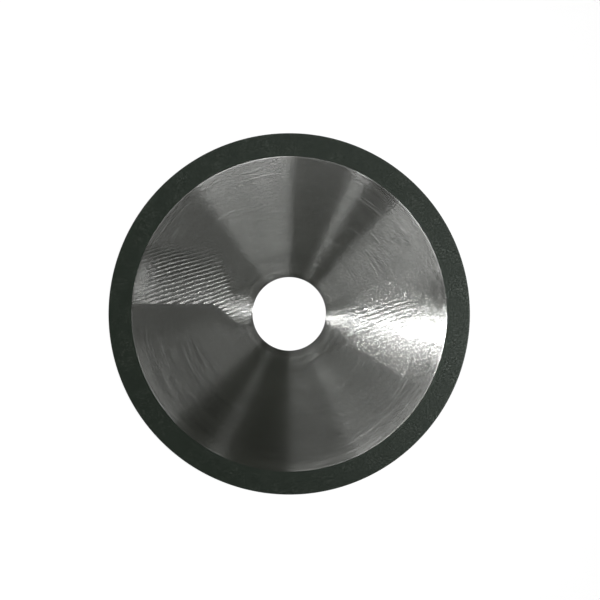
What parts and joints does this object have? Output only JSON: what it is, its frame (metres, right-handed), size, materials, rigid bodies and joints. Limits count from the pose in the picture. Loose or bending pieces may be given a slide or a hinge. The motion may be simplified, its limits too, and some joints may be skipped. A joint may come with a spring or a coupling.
{
  "type": "resin-bonded diamond cutting disc",
  "caption": "Thin flat cutting disc: a bare steel core with a round bore and a continuous dark rim of diamond grit in cured resin.",
  "frame": {"origin": "centre of the bore, at half the disc's thickness", "axes": "+Z along the bore axis, up from the face that the disc lies on; the disc is round, so X and Y are free"},
  "size_m": [0.125, 0.125, 0.0012],
  "materials": {
    "core_steel": "ground flat, with a fine circular lay",
    "rim_bond": "matte, dressed, with fine grit"
  },
  "bodies": {
    "root": {"steel_core": "core_steel", "diamond_rim": "rim_bond"}
  },
  "joints": []
}
